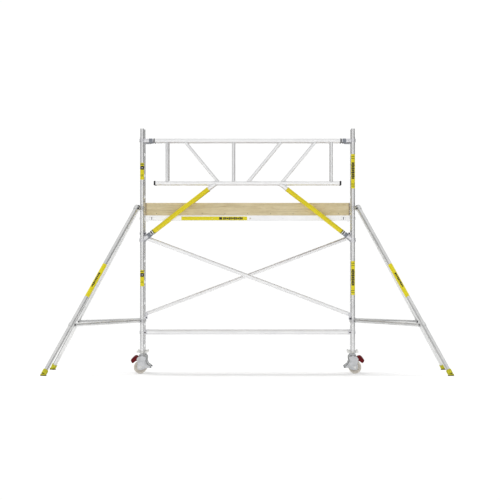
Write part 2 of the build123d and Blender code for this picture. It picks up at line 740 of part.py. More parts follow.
def caster_fork(corner):
    side, face = corner
    axle_z = wheel_d / 2
    outline = [(-46, 205), (-50, 180), (-44, 150), (-62, 110), (-98, 84), (-92, 68), (-50, 66), (-30, 50),
               (0, 44), (25, 40), (50, 50), (60, 75), (54, 110), (60, 150), (66, 172), (50, 196), (34, 205)]
    cheeks = []
    inner = cheek_gap / 2
    for way in (-1, 1):
        low = min(way * inner, way * (inner + cheek_thick))
        cheeks.append(side_plate(corner, outline, low, low + cheek_thick))
    crown = block(at(side, face, -crown_outer, -inner, crown_low * caster_scale),
                  at(side, face, crown_inner, inner, crown_high * caster_scale))
    crown += rod(at(side, face, 0, 0, crown_high * caster_scale - race_sink),
                 at(side, face, 0, 0, swivel_top - free_gap), race_d)
    body = crown + cheeks[0] + cheeks[1]
    # tie bar behind the wheel, where the release tip sits
    body += block(at(side, face, tie_near * caster_scale, -inner, tie_low * caster_scale),
                  at(side, face, tie_far * caster_scale, inner, tie_high * caster_scale))
    reach = inner + cheek_thick + axle_proud
    body += rod(at(side, face, -wheel_trail, -reach, axle_z), at(side, face, -wheel_trail, reach, axle_z), axle_d)
    body += rod(at(side, face, -pedal_pin[0], -inner, pedal_pin[1]),
                at(side, face, -pedal_pin[0], inner, pedal_pin[1]), pedal_pin_d)
    wheel_room = rod(at(side, face, -wheel_trail, -wheel_width / 2 - wheel_side_gap, axle_z),
                     at(side, face, -wheel_trail, wheel_width / 2 + wheel_side_gap, axle_z),
                     wheel_d + 2 * wheel_top_gap)
    axle_core = rod(at(side, face, -wheel_trail, -reach, axle_z), at(side, face, -wheel_trail, reach, axle_z),
                    axle_d)
    return body - (wheel_room - axle_core)


def caster_wheel(corner):
    side, face = corner
    z = wheel_d / 2
    half = wheel_width / 2
    wheel = rod(at(side, face, -wheel_trail, -half, z), at(side, face, -wheel_trail, half, z), wheel_d)
    wheel = fillet(wheel.edges().filter_by(GeomType.CIRCLE), tread_round)
    for way in (-1, 1):
        a = at(side, face, -wheel_trail, way * (half - dish_depth), z)
        b = at(side, face, -wheel_trail, way * (half + 1), z)
        wheel -= rod(a, b, dish_d * caster_scale) - rod(a, b, boss_d * caster_scale)
    hub = rod(at(side, face, -wheel_trail, -cheek_gap / 2 + wheel_side_gap, z),
              at(side, face, -wheel_trail, cheek_gap / 2 - wheel_side_gap, z), hub_d)
    bore = rod(at(side, face, -wheel_trail, -half - 20, z), at(side, face, -wheel_trail, half + 20, z),
               axle_d + 2 * fit_gap)
    return wheel + hub - bore


def brake_pedal(corner):
    side, face = corner
    outline = [(44, 158), (62, 153), (82, 144), (104, 126), (116, 122), (134, 146), (131, 166), (112, 190),
               (92, 203), (66, 199), (48, 180)]
    pad = side_plate(corner, outline, -pedal_width / 2, pedal_width / 2)
    reach = cheek_gap / 2 + 10
    bore = rod(at(side, face, -pedal_pin[0], -reach, pedal_pin[1]), at(side, face, -pedal_pin[0], reach,
                                                                     pedal_pin[1]), pedal_pin_d + 2 * fit_gap)
    return pad - bore


def corner_units():
    for name, corner in corners.items():
        save(f"jack_{name}", [jack(corner)])
        save(f"jack_nut_{name}", [jack_nut(corner)])
        save(f"caster_fork_{name}", [caster_fork(corner)])
        save(f"caster_wheel_{name}", [caster_wheel(corner)])
        save(f"brake_pedal_{name}", [brake_pedal(corner)])
        save(f"outrigger_{name}", outrigger(corner))
        save(f"outrigger_foot_{name}", [outrigger_foot(corner)])


os.makedirs("parts", exist_ok=True)
for side_word, side_sign in (("left", -1), ("right", 1)):
    save(f"lower_frame_{side_word}", ladder_frame(side_sign, frame_base))
    save(f"upper_frame_{side_word}", ladder_frame(side_sign, frame_joint))
    save(f"wind_lock_{side_word}", [wind_lock(side_sign)])
guardrails()
braces()
platform()
corner_units()
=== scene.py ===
# Looks for the rolling scaffold tower: metals, labels, welds, rivets, rubber and boards round the frame
import bpy, bmesh, json
from math import cos, pi, radians, sin, sqrt
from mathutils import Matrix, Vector


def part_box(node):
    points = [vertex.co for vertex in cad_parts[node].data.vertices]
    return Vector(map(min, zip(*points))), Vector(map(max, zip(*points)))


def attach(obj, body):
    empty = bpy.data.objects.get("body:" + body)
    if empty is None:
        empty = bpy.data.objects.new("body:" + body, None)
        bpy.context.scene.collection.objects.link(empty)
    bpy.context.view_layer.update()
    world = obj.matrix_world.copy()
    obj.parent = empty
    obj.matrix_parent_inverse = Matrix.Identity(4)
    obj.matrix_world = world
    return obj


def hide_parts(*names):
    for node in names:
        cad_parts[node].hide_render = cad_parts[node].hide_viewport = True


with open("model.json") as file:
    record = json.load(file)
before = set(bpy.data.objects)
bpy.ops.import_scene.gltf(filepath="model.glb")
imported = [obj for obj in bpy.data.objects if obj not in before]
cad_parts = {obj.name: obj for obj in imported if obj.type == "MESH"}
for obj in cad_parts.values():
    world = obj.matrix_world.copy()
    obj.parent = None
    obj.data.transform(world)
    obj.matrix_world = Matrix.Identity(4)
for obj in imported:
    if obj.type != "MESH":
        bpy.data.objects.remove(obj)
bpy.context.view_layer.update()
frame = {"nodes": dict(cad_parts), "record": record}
nodes = frame["nodes"]
corners = {"front_left": (-1, -1), "front_right": (1, -1), "rear_left": (-1, 1), "rear_right": (1, 1)}
print("frame in, nodes:", len(nodes))


# small helpers
def rgb(r, g, b):
    # screen values 0-255 to linear colour
    return tuple(((c / 255 + 0.055) / 1.055) ** 2.4 if c > 10 else c / 3294 for c in (r, g, b)) + (1.0,)


def newMat(name):
    mat = bpy.data.materials.new(name)
    mat.use_nodes = True
    return mat, mat.node_tree, mat.node_tree.nodes["Principled BSDF"]


def coords(tree, kind="Object", scale=(1, 1, 1)):
    tex = tree.nodes.new("ShaderNodeTexCoord")
    mapping = tree.nodes.new("ShaderNodeMapping")
    mapping.inputs["Scale"].default_value = scale
    tree.links.new(tex.outputs[kind], mapping.inputs["Vector"])
    return mapping.outputs["Vector"]


def noiseAt(tree, vector, scale, detail=4.0, rough=0.55, distortion=0.0):
    n = tree.nodes.new("ShaderNodeTexNoise")
    n.inputs["Scale"].default_value = scale
    n.inputs["Detail"].default_value = detail
    n.inputs["Roughness"].default_value = rough
    n.inputs["Distortion"].default_value = distortion
    tree.links.new(vector, n.inputs["Vector"])
    return n.outputs["Fac"]


def rampOf(tree, fac, stops):
    r = tree.nodes.new("ShaderNodeValToRGB")
    el = r.color_ramp.elements
    while len(el) < len(stops):
        el.new(0.5)
    for e, (place, colour) in zip(el, stops):
        e.position = place
        e.color = colour
    tree.links.new(fac, r.inputs["Fac"])
    return r.outputs["Color"]


def rangeOf(tree, value, low, high, fromLow=0.0, fromHigh=1.0):
    m = tree.nodes.new("ShaderNodeMapRange")
    for key, number in (("From Min", fromLow), ("From Max", fromHigh), ("To Min", low), ("To Max", high)):
        m.inputs[key].default_value = number
    tree.links.new(value, m.inputs["Value"])
    return m.outputs["Result"]


def mixRgb(tree, fac, a, b, blend="MIX"):
    m = tree.nodes.new("ShaderNodeMix")
    m.data_type = "RGBA"
    m.blend_type = blend
    for socket, value in ((m.inputs[0], fac), (m.inputs[6], a), (m.inputs[7], b)):
        if isinstance(value, bpy.types.NodeSocket):
            tree.links.new(value, socket)
        else:
            socket.default_value = value
    return m.outputs[2]


def bumpOn(tree, bsdf, height, strength, distance):
    b = tree.nodes.new("ShaderNodeBump")
    b.inputs["Strength"].default_value = strength
    b.inputs["Distance"].default_value = distance
    tree.links.new(height, b.inputs["Height"])
    tree.links.new(b.outputs["Normal"], bsdf.inputs["Normal"])
    return b


# materials
def metalTube(name, look):
    # drawn tube: the pattern follows the surface normal, so its lines run along the tube
    mat, tree, bsdf = newMat(name)
    around = coords(tree, "Normal")
    place = coords(tree)
    lines = noiseAt(tree, around, look["lines"], 3, 0.6)
    smudge = noiseAt(tree, place, look["smudge"], 5, 0.6, 0.4)
    grain = noiseAt(tree, place, 900, 2, 0.5)
    base = rampOf(tree, smudge, [(0.3, look["dark"]), (0.62, look["light"])])
    streak = rangeOf(tree, lines, 0.92, 1.05)
    tint = mixRgb(tree, 1.0, base, streak, "MULTIPLY")
    tree.links.new(tint, bsdf.inputs["Base Color"])
    bsdf.inputs["Metallic"].default_value = look["metallic"]
    rough = tree.nodes.new("ShaderNodeMath")
    rough.operation = "ADD"
    tree.links.new(rangeOf(tree, smudge, look["rough"] - 0.02, look["rough"] + 0.04), rough.inputs[0])
    tree.links.new(rangeOf(tree, lines, -0.03, 0.04), rough.inputs[1])
    tree.links.new(rough.outputs[0], bsdf.inputs["Roughness"])
    bumpOn(tree, bsdf, mixRgb(tree, 0.1, lines, grain), 0.03, 0.0001)
    return mat


def castMetal(name, look):
    mat, tree, bsdf = newMat(name)
    place = coords(tree)
    grain = noiseAt(tree, place, look["grain"], 6, 0.7)
    patch = noiseAt(tree, place, 26, 4, 0.6, 0.5)
    base = rampOf(tree, patch, [(0.28, look["dark"]), (0.66, look["light"])])
    tree.links.new(base, bsdf.inputs["Base Color"])
    tree.links.new(rangeOf(tree, grain, look["rough"] - 0.1, look["rough"] + 0.14), bsdf.inputs["Roughness"])
    bsdf.inputs["Metallic"].default_value = look["metallic"]
    bumpOn(tree, bsdf, grain, look["bump"], 0.0008)
    return mat


def plastic(name, grain, dark, light, rough, bump, specular=0.45):
    mat, tree, bsdf = newMat(name)
    place = coords(tree)
    skin = noiseAt(tree, place, grain, 3, 0.6)
    wear = noiseAt(tree, place, 34, 5, 0.65, 0.6)
    base = rampOf(tree, wear, [(0.3, dark), (0.68, light)])
    tree.links.new(base, bsdf.inputs["Base Color"])
    tree.links.new(rangeOf(tree, wear, rough - 0.08, rough + 0.12), bsdf.inputs["Roughness"])
    bsdf.inputs["Specular IOR Level"].default_value = specular
    bumpOn(tree, bsdf, skin, bump, 0.0006)
    return mat


def plywood(name, look):
    # face grain runs along the board's long axis
    mat, tree, bsdf = newMat(name)
    long = coords(tree, "Object", look["stretch"])
    place = coords(tree)
    band = noiseAt(tree, long, 5.0, 6, 0.62, 1.2)
    fibre = noiseAt(tree, long, 46.0, 5, 0.7, 0.3)
    cloud = noiseAt(tree, place, 3.2, 3, 0.5, 0.6)
    tone = rampOf(tree, band, [(0.28, look["dark"]), (0.5, look["mid"]), (0.72, look["light"])])
    line = rampOf(tree, fibre, [(0.36, look["pore"]), (0.5, (1, 1, 1, 1))])
    wood = mixRgb(tree, look["poreAmount"], tone, line, "MULTIPLY")
    shade = rampOf(tree, cloud, [(0.3, look["cloudDark"]), (0.7, (1, 1, 1, 1))])
    wood = mixRgb(tree, 0.5, wood, shade, "MULTIPLY")
    # plies show on the top and bottom edges as thin stripes
    ply = tree.nodes.new("ShaderNodeTexWave")
    ply.bands_direction = look["plyAxis"]
    ply.inputs["Scale"].default_value = look["plyScale"]
    ply.inputs["Distortion"].default_value = 0.6
    ply.inputs["Detail"].default_value = 2
    tree.links.new(place, ply.inputs["Vector"])
    normal = tree.nodes.new("ShaderNodeSeparateXYZ")
    tree.links.new(coords(tree, "Normal"), normal.inputs[0])
    edge = tree.nodes.new("ShaderNodeMath")
    edge.operation = "ABSOLUTE"
    tree.links.new(normal.outputs[look["edgeAxis"]], edge.inputs[0])
    edgeMask = rangeOf(tree, edge.outputs[0], 0, 1, 0.6, 0.8)
    edgeTone = rampOf(tree, ply.outputs["Fac"], [(0.35, look["plyDark"]), (0.6, look["plyLight"])])
    tree.links.new(mixRgb(tree, edgeMask, wood, edgeTone), bsdf.inputs["Base Color"])
    tree.links.new(rangeOf(tree, fibre, 0.55, 0.75), bsdf.inputs["Roughness"])
    bsdf.inputs["Specular IOR Level"].default_value = 0.3
    bumpOn(tree, bsdf, fibre, 0.2, 0.0008)
    return mat


def filmDeck(name, look):
    # film-faced board: a pressed anti-slip net on brown film
    mat, tree, bsdf = newMat(name)
    place = coords(tree)
    cells = tree.nodes.new("ShaderNodeTexVoronoi")
    cells.feature = "DISTANCE_TO_EDGE"
    cells.inputs["Scale"].default_value = 160
    cells.inputs["Randomness"].default_value = 0.12
    tree.links.new(place, cells.inputs["Vector"])
    wear = noiseAt(tree, place, 4.5, 6, 0.65, 0.8)
    dust = noiseAt(tree, place, 60, 4, 0.7)
    net = rangeOf(tree, cells.outputs["Distance"], 1, 0, 0.0, 0.12)
    film = rampOf(tree, wear, [(0.3, look["dark"]), (0.7, look["light"])])
    film = mixRgb(tree, rangeOf(tree, dust, 0, 0.4), film, look["dust"])
    tree.links.new(mixRgb(tree, rangeOf(tree, net, 0, 0.35), film, look["dark"]), bsdf.inputs["Base Color"])
    tree.links.new(rangeOf(tree, wear, 0.42, 0.68), bsdf.inputs["Roughness"])
    bumpOn(tree, bsdf, net, 0.5, 0.0008)
    return mat


tubeLook = {"lines": 34, "smudge": 3.5, "dark": rgb(236, 236, 237), "light": rgb(248, 248, 248),
            "metallic": 0.85, "rough": 0.24}
armLook = {"lines": 30, "smudge": 4.0, "dark": rgb(214, 215, 215), "light": rgb(232, 232, 231),
           "metallic": 0.85, "rough": 0.28}
# the rails and braces are a flatter, milkier tube than the posts
railLook = dict(tubeLook, dark=rgb(242, 242, 243), light=rgb(251, 251, 251), metallic=0.6, rough=0.4)
castLook = {"grain": 240, "dark": rgb(214, 214, 218), "light": rgb(234, 234, 237), "metallic": 0.7,
            "rough": 0.42, "bump": 0.25}
mats = {
    "tube_aluminium": metalTube("drawnAluminium", tubeLook),
    "beam_aluminium": metalTube("beamAluminium", dict(tubeLook, lines=22, rough=0.4)),
    "outrigger_aluminium": metalTube("outriggerAluminium", armLook),
    "cast_aluminium": castMetal("castAluminium", castLook),
    "black_plastic": plastic("blackPlastic", grain=420, dark=rgb(18, 18, 19), light=rgb(34, 34, 36),
                             rough=0.5, bump=0.2),
    "grey_plastic": plastic("greyPlastic", grain=380, dark=rgb(124, 128, 136), light=rgb(150, 154, 162),
                            rough=0.48, bump=0.2),
    "yellow_plastic": plastic("yellowSleeve", grain=300, dark=rgb(230, 212, 0), light=rgb(241, 222, 3),
                              rough=0.42, bump=0.1),
    "blue_button": plastic("blueButton", grain=420, dark=rgb(12, 14, 32), light=rgb(20, 23, 48),
                           rough=0.38, bump=0.1),
    "dark_red_button": plastic("redButton", grain=420, dark=rgb(32, 8, 12), light=rgb(50, 12, 18),
                               rough=0.38, bump=0.1),
    "deck_plywood": filmDeck("filmFacedDeck", {"dark": rgb(74, 52, 38), "light": rgb(112, 82, 60),
                                               "dust": rgb(160, 138, 116)}),
    "toe_plywood": plywood("toeBoardPly", {"stretch": (0.35, 3.0, 5.0), "dark": rgb(211, 196, 157),
                                           "mid": rgb(230, 216, 177), "light": rgb(241, 228, 194),
                                           "pore": rgb(214, 199, 166), "poreAmount": 0.5,
                                           "cloudDark": rgb(238, 230, 214), "plyAxis": "Y", "plyScale": 60,
                                           "edgeAxis": 2, "plyDark": rgb(128, 108, 84),
                                           "plyLight": rgb(170, 150, 122)}),
    "plated_steel": castMetal("zincPlate", dict(castLook, dark=rgb(206, 206, 203), light=rgb(228, 228, 225),
                                                metallic=0.9, rough=0.36, bump=0.12, grain=120)),
    "stem_steel": castMetal("stemSteel", dict(castLook, dark=rgb(196, 196, 196), light=rgb(220, 220, 220),
                                              metallic=0.9, rough=0.34, bump=0.12, grain=150)),
    "caster_steel": castMetal("casterSteel", dict(castLook, dark=rgb(188, 190, 192), light=rgb(213, 214, 216),
                                                  metallic=0.75, rough=0.42, bump=0.12, grain=140)),
    "wheel_nylon": plastic("wheelNylon", grain=260, dark=rgb(212, 205, 194), light=rgb(228, 222, 212),
                           rough=0.5, bump=0.18),
    "red_plastic": plastic("redPedal", grain=300, dark=rgb(90, 0, 8), light=rgb(116, 2, 12),
                           rough=0.5, bump=0.15, specular=0.2),
    "yellow_rubber": plastic("yellowRubber", grain=200, dark=rgb(176, 172, 18), light=rgb(214, 209, 40),
                             rough=0.62, bump=0.3),
}
edgeWood = plastic("edgeBand", grain=300, dark=rgb(150, 134, 108), light=rgb(178, 160, 132),
                   rough=0.6, bump=0.2, specular=0.25)
# blackened steel for pins, bolts and rivets; on the platform beams it also paints the shade in the slots
darkSteelAndSlotShade = castMetal("blackenedBoltAndSlotShade", dict(castLook, dark=rgb(52, 52, 55), light=rgb(88, 88, 92), rough=0.45,
                                            bump=0.15))
# dark grey for the strips on the caster plates' edges: painted shade
edgeShadeSteel = castMetal("paintedEdgeShade", dict(castLook, dark=rgb(92, 96, 92), light=rgb(128, 131, 127), rough=0.5,
                                         bump=0.2))
labelYellow = plastic("labelYellow", grain=500, dark=rgb(232, 218, 0), light=rgb(242, 227, 4),
                      rough=0.36, bump=0.04)
labelBlack = plastic("labelInk", grain=500, dark=rgb(22, 20, 12), light=rgb(36, 33, 22), rough=0.4, bump=0.04)
labelOlive = plastic("labelOlive", grain=500, dark=rgb(118, 120, 20), light=rgb(140, 140, 30),
                     rough=0.4, bump=0.04)
oliveRubber = plastic("oliveRubber", grain=220, dark=rgb(70, 66, 6), light=rgb(104, 98, 14),
                      rough=0.66, bump=0.35)
weldMetal = castMetal("weldBead", dict(castLook, dark=rgb(176, 176, 178), light=rgb(214, 214, 214), rough=0.4,
                                       bump=0.3, grain=320))
railTube = metalTube("railAluminium", railLook)
flatNodes = ("guardrail_front", "guardrail_rear", "horizontal_braces", "diagonal_braces")
slotOf = {part["node"]: part["material_slot"] for part in frame["record"]["subparts"]}
for name, obj in nodes.items():
    obj.data.materials.clear()
    obj.data.materials.append(railTube if name in flatNodes else mats[slotOf[name]])
    for poly in obj.data.polygons:
        poly.use_smooth = True
    obj.data.set_sharp_from_angle(angle=radians(32))
print("materials on")


# mesh tools
def makePiece(name, body, verts, faces, faceMats, matList, smooth=True):
    mesh = bpy.data.meshes.new(name)
    mesh.from_pydata([tuple(v) for v in verts], [], faces)
    for m in matList:
        mesh.materials.append(m)
    for poly, index in zip(mesh.polygons, faceMats):
        poly.material_index = index
        poly.use_smooth = smooth
    mesh.validate()
    bm = bmesh.new()
    bm.from_mesh(mesh)
    bmesh.ops.recalc_face_normals(bm, faces=bm.faces)
    bm.to_mesh(mesh)
    bm.free()
    if smooth:
        mesh.set_sharp_from_angle(angle=radians(35))
    obj = bpy.data.objects.new(name, mesh)
    bpy.context.scene.collection.objects.link(obj)
    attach(obj, body)
    return obj


class Pile:
    # gathers verts and faces of many small shapes into one piece
    def __init__(self):
        self.verts, self.faces, self.mats = [], [], []

    def add(self, verts, faces, mat=0):
        start = len(self.verts)
        self.verts += verts
        self.faces += [tuple(i + start for i in f) for f in faces]
        self.mats += [mat] * len(faces)

    def build(self, name, body, matList, smooth=True):
        return makePiece(name, body, self.verts, self.faces, self.mats, matList, smooth)


def axes(direction, up=Vector((0, 0, 1))):
    d = Vector(direction).normalized()
    if abs(d.dot(up)) > 0.98:
        up = Vector((0, 1, 0))
    x = up.cross(d).normalized()
    return x, d.cross(x).normalized(), d


def lathe(pile, origin, direction, profile, steps=24, mat=0, ends=True):
    # profile: (distance along, radius) from one end to the other
    x, y, d = axes(direction)
    verts, faces = [], []
    for along, radius in profile:
        for k in range(steps):
            a = 2 * pi * k / steps
            verts.append(Vector(origin) + d * along + (x * cos(a) + y * sin(a)) * radius)
    for i in range(len(profile) - 1):
        for k in range(steps):
            n = (k + 1) % steps
            faces.append((i * steps + k, i * steps + n, (i + 1) * steps + n, (i + 1) * steps + k))
    if ends:
        faces.append(tuple(range(steps - 1, -1, -1)))
        faces.append(tuple((len(profile) - 1) * steps + k for k in range(steps)))
    pile.add(verts, faces, mat)


def ringLoop(pile, points, radius, steps=8, mat=0):
    # a round bead along a closed line of points
    count = len(points)
    verts, faces = [], []
    for i, p in enumerate(points):
        ahead = (points[(i + 1) % count] - points[i - 1]).normalized()
        x, y, d = axes(ahead, Vector((0.3, 0.5, 0.81)))
        r = radius * (1 + 0.16 * sin(i * 2.1))
        for k in range(steps):
            a = 2 * pi * k / steps
            verts.append(p + (x * cos(a) + y * sin(a)) * r)
    for i in range(count):
        j = (i + 1) % count
        for k in range(steps):
            n = (k + 1) % steps
            faces.append((i * steps + k, i * steps + n, j * steps + n, j * steps + k))
    pile.add(verts, faces, mat)


def weldRing(pile, centre, smallDir, smallR, bigDir, bigR, bead, mat=0):
    # bead where a small tube meets a big one; centre is on the big tube's axis
    b = Vector(bigDir).normalized()
    s = Vector(smallDir).normalized()
    x, y, d = axes(s, b)
    points = []
    for k in range(28):
        a = 2 * pi * k / 28
        off = (x * cos(a) + y * sin(a)) * smallR
        flat = off - b * off.dot(b)
        run = s - b * s.dot(b)
        # how far along the small tube its skin reaches the big tube
        aa, bb, cc = run.dot(run), 2 * run.dot(flat), flat.dot(flat) - bigR * bigR
        t = (-bb + sqrt(max(bb * bb - 4 * aa * cc, 0))) / (2 * aa)
        points.append(Vector(centre) + off + s * t)
    ringLoop(pile, points, bead, 6, mat)


def curvedPatch(pile, origin, direction, facing, radius, length, halfAngle, mat=0, thick=0.0004,
                shiftAngle=0.0, steps=14, corner=0.0):
    # a sticker wrapped on a tube: origin at its lower end on the axis, facing the middle of its width
    d = Vector(direction).normalized()
    f = (Vector(facing) - d * Vector(facing).dot(d)).normalized()
    s = d.cross(f)
    rows = 5 if corner else 2
    verts, faces = [], []
    for layer in (0, 1):
        r = radius + layer * thick
        for i in range(rows):
            share = i / (rows - 1)
            for k in range(steps + 1):
                across = 2 * k / steps - 1
                a = shiftAngle + halfAngle * across
                inset = corner * max(0.0, abs(across) - 0.8) / 0.2
                along = inset + (length - 2 * inset) * share
                verts.append(Vector(origin) + d * along + (f * cos(a) + s * sin(a)) * r)
    width = steps + 1
    total = rows * width
    for layer in (0, 1):
        for i in range(rows - 1):
            for k in range(steps):
                a = layer * total + i * width + k
                faces.append((a, a + 1, a + width + 1, a + width))
    rim = list(range(width)) + [i * width + steps for i in range(1, rows)]
    rim += [(rows - 1) * width + k for k in range(steps - 1, -1, -1)]
    rim += [i * width for i in range(rows - 2, 0, -1)]
    for i, a in enumerate(rim):
        b = rim[(i + 1) % len(rim)]
        faces.append((a, b, b + total, a + total))
    pile.add(verts, faces, mat)


def bevelBlock(pile, low, high, bevel, mat=0, turn=None):
    # a box with eased edges, as a real cut or moulded block has
    bm = bmesh.new()
    bmesh.ops.create_cube(bm, size=1)
    low, high = Vector(low), Vector(high)
    size, mid = high - low, (low + high) / 2
    for v in bm.verts:
        v.co = Vector((v.co.x * size.x, v.co.y * size.y, v.co.z * size.z))
    bmesh.ops.bevel(bm, geom=list(bm.edges), offset=bevel, segments=2, profile=0.6, affect="EDGES")
    verts = [v.co.copy() for v in bm.verts]
    if turn is not None:
        verts = [turn @ v for v in verts]
    verts = [v + mid for v in verts]
    faces = [tuple(v.index for v in f.verts) for f in bm.faces]
    bm.free()
    pile.add(verts, faces, mat)


def boltHead(pile, origin, direction, size, height, mat=0, washer=True):
    # washer, hexagon with an eased top, and a short thread end
    if washer:
        lathe(pile, origin, direction, [(0, size * 1.25), (height * 0.18, size * 1.25),
                                        (height * 0.22, size * 1.1)], 20, mat)
    x, y, d = axes(direction)
    verts, faces = [], []
    for along, share in ((height * 0.2, 1.0), (height * 0.85, 1.0), (height, 0.84)):
        for k in range(6):
            a = pi * k / 3
            verts.append(Vector(origin) + d * along + (x * cos(a) + y * sin(a)) * size * share)
    for i in range(2):
        for k in range(6):
            n = (k + 1) % 6
            faces.append((i * 6 + k, i * 6 + n, (i + 1) * 6 + n, (i + 1) * 6 + k))
    faces += [tuple(range(5, -1, -1)), tuple(range(12, 18))]
    pile.add(verts, faces, mat)


def rivet(pile, origin, direction, size, mat=0):
    lathe(pile, origin, direction, [(-0.0004, size), (0.0006, size), (0.0016, size * 0.86),
                                    (0.0024, size * 0.55), (0.0027, size * 0.2)], 14, mat)


def rod(pile, a, b, radius, steps, mat=0):
    lathe(pile, a, b - a, [(0, radius), ((b - a).length, radius)], steps, mat)


# where things are, from the frame itself
leftLow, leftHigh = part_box("lower_frame_left")
toeLow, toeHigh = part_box("toe_boards")
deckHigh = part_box("platform_deck")[1]
postR = 0.0254
rungR = 0.0225
halfBay = (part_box("lower_frame_right")[1].x - leftLow.x) / 2 - postR
halfWidth = (leftHigh.y - leftLow.y) / 2 - postR
frameBase = leftLow.z
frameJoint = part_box("upper_frame_left")[0].z
rungCount = 5
lowRung = 0.051  # the first rung's axis over the foot of its frame
rungPitch = (frameJoint - frameBase) / rungCount
rungLevels = [base + lowRung + i * rungPitch for base in (frameBase, frameJoint) for i in range(rungCount)]
deckTop = toeLow.z
posts = [(side, face) for side in (-1, 1) for face in (-1, 1)]


def at(side, face, inward, inner, z):
    return Vector((side * (halfBay - inward), face * (halfWidth - inner), z))


# post labels
postLabel = {
    "leftUpper": (2.300, 2.499), "leftLower": (1.035, 1.228),
    "rightUpper": (2.195, 2.604), "rightLower": (0.932, 1.335),
    "halfWidth": radians(62),
}


def postLabels():
    pile = Pile()
    over = postR + 0.0007
    for face in (-1, 1):
        for side in (-1, 1):
            kind = "left" if side * face > 0 else "right"
            for level in ("Upper", "Lower"):
                low, high = postLabel[kind + level]
                size = high - low

                def patch(start, long, halfAngle, mat, radius=over, corner=0.0):
                    curvedPatch(pile, at(side, face, 0, 0, low + start), (0, 0, 1), (0, face, 0), radius,
                                long, halfAngle, mat, corner=corner)
                patch(0, size, postLabel["halfWidth"], 0, postR + 0.0002, 0.0015)
                if kind == "left":
                    # a bar at the top, a ring with a light middle, and a small lower mark
                    patch(size - 0.022, 0.014, radians(58), 2)
                    patch(size - 0.080, 0.044, radians(56), 1, corner=0.008)
                    patch(size - 0.064, 0.012, radians(13), 3, over + 0.0005, 0.002)
                    for k in range(3):
                        patch(0.040 + k * 0.009, 0.004, radians(40 - 6 * k), 2)
                else:
                    # one long row of plain bars down the middle
                    for k in range(9):
                        patch(size * 0.28 + k * size * 0.054, size * 0.044, radians(34 + 9 * (k % 2)), 1)
                    for share in (0.06, 0.12, 0.86, 0.92):
                        patch(size * share, size * 0.02, radians(46), 2)
    pile.build("postLabels", "tower",
               [labelYellow, labelBlack, labelOlive, mats["wheel_nylon"]])


postLabels()

# welds of the ladder frames and guardrails
weldLook = {"bead": 0.0028, "webBead": 0.0025, "strutBead": 0.0026, "strut": 0.024}


def frameWelds():
    pile = Pile()
    for side, face in posts:
        for z in rungLevels:
            weldRing(pile, at(side, face, 0, 0, z), (0, -face, 0), rungR, (0, 0, 1), postR, weldLook["bead"])
    pile.build("rungWelds", "tower", [weldMetal])


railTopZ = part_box("guardrail_front")[1].z - postR
webs = {"posts": (-0.955, -0.168, 0.994), "slanted": ((-0.337, -0.754), (-0.007, 0.409), (0.399, 0.816)),
        "drop": 0.504, "radius": 0.018, "strutFoot": 0.377, "strutTop": 1.583}
railLowZ = railTopZ - webs["drop"]


def railWelds():
    pile = Pile()
    for face in (-1, 1):
        y = face * halfWidth
        for a, b in [(x, x) for x in webs["posts"]] + list(webs["slanted"]):
            low = Vector((a, y, railLowZ))
            high = Vector((b, y, railTopZ))
            weldRing(pile, low, high - low, webs["radius"], (1, 0, 0), postR, weldLook["webBead"])
            weldRing(pile, high, low - high, webs["radius"], (1, 0, 0), postR, weldLook["webBead"])
        for side in (-1, 1):
            foot = Vector((side * webs["strutFoot"], y, railLowZ))
            post = Vector((side * halfBay, y, webs["strutTop"]))
            weldRing(pile, foot, post - foot, weldLook["strut"], (1, 0, 0), postR, weldLook["strutBead"])
    pile.build("railWelds", "tower", [weldMetal])


frameWelds()
railWelds()

# locking pins where the two lifts meet
pinLook = {"above": 0.040, "wire": 0.0016}


def frameLocks():
    pile = Pile()
    for side, face in posts:
        mid = at(side, face, 0, 0, frameJoint + pinLook["above"])
        out = Vector((side, 0, 0))
        lathe(pile, mid + out * (postR - 0.001), out,
              [(0, 0.0075), (0.0022, 0.0075), (0.003, 0.0055), (0.009, 0.0052), (0.010, 0.0040)], 18, 0)
        lathe(pile, mid - out * (postR - 0.001), -out,
              [(0, 0.0072), (0.002, 0.0072), (0.003, 0.0045), (0.006, 0.0042)], 18, 0)
        # spring wire from the pin round the post
        points = []
        for k in range(17):
            a = pi * k / 16
            points.append(mid + Vector((side * cos(a), -face * sin(a), 0)) * (postR + 0.0022) +
                          Vector((0, 0, -0.010 * sin(a))))
        for a, b in zip(points, points[1:]):
            rod(pile, a, b, pinLook["wire"], 8, 1)
    pile.build("frameLocks", "tower", [darkSteelAndSlotShade, mats["plated_steel"]])


frameLocks()
print("tower labels, welds and pins on")

# guardrail claws: rivets
clawLook = {"rivet": 0.0042, "outer": 0.0317, "neck": 0.052, "skin": 0.0239}


def clawDetails():
    pile = Pile()
    for side, face in posts:
        for z, tall in ((railTopZ, 0.044), (webs["strutTop"], 0.046)):
            centre = at(side, face, 0, 0, z)
            for up in (-1, 1):
                rivet(pile, centre + Vector((side * clawLook["outer"], 0, up * tall * 0.28)), (side, 0, 0),
                      clawLook["rivet"])
            for way in (face, -face):
                rivet(pile, centre + Vector((-side * clawLook["neck"], way * clawLook["skin"], 0)),
                      (0, way, 0), clawLook["rivet"])
    pile.build("clawRivets", "tower", [mats["plated_steel"]])


clawDetails()

# far ends of the diagonal braces' lock pins: thin discs, so a pressed lock carries them off the claw
pinEndLook = {"radius": 0.0085, "proud": 0.0022, "inward": 0.034, "inner": 0.0415, "head": 0.0095}


def pinEnds():
    radius, proud = pinEndLook["radius"], pinEndLook["proud"]
    for face, word in ((-1, "front"), (1, "rear")):
        low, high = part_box("brace_lock_diagonal_" + word)
        pile = Pile()
        for side, z in ((face, high.z - pinEndLook["head"]), (-face, low.z + pinEndLook["head"])):
            lathe(pile, at(side, face, pinEndLook["inward"], pinEndLook["inner"], z), (0, -face, 0),
                  [(0, radius), (proud, radius), (proud + 0.0007, radius - 0.0008),
                   (proud + 0.0007, 0.003)], 28, 0)
        pile.build("pinEnds_" + word, "brace_lock_diagonal_" + word, [mats["blue_button"]])


pinEnds()

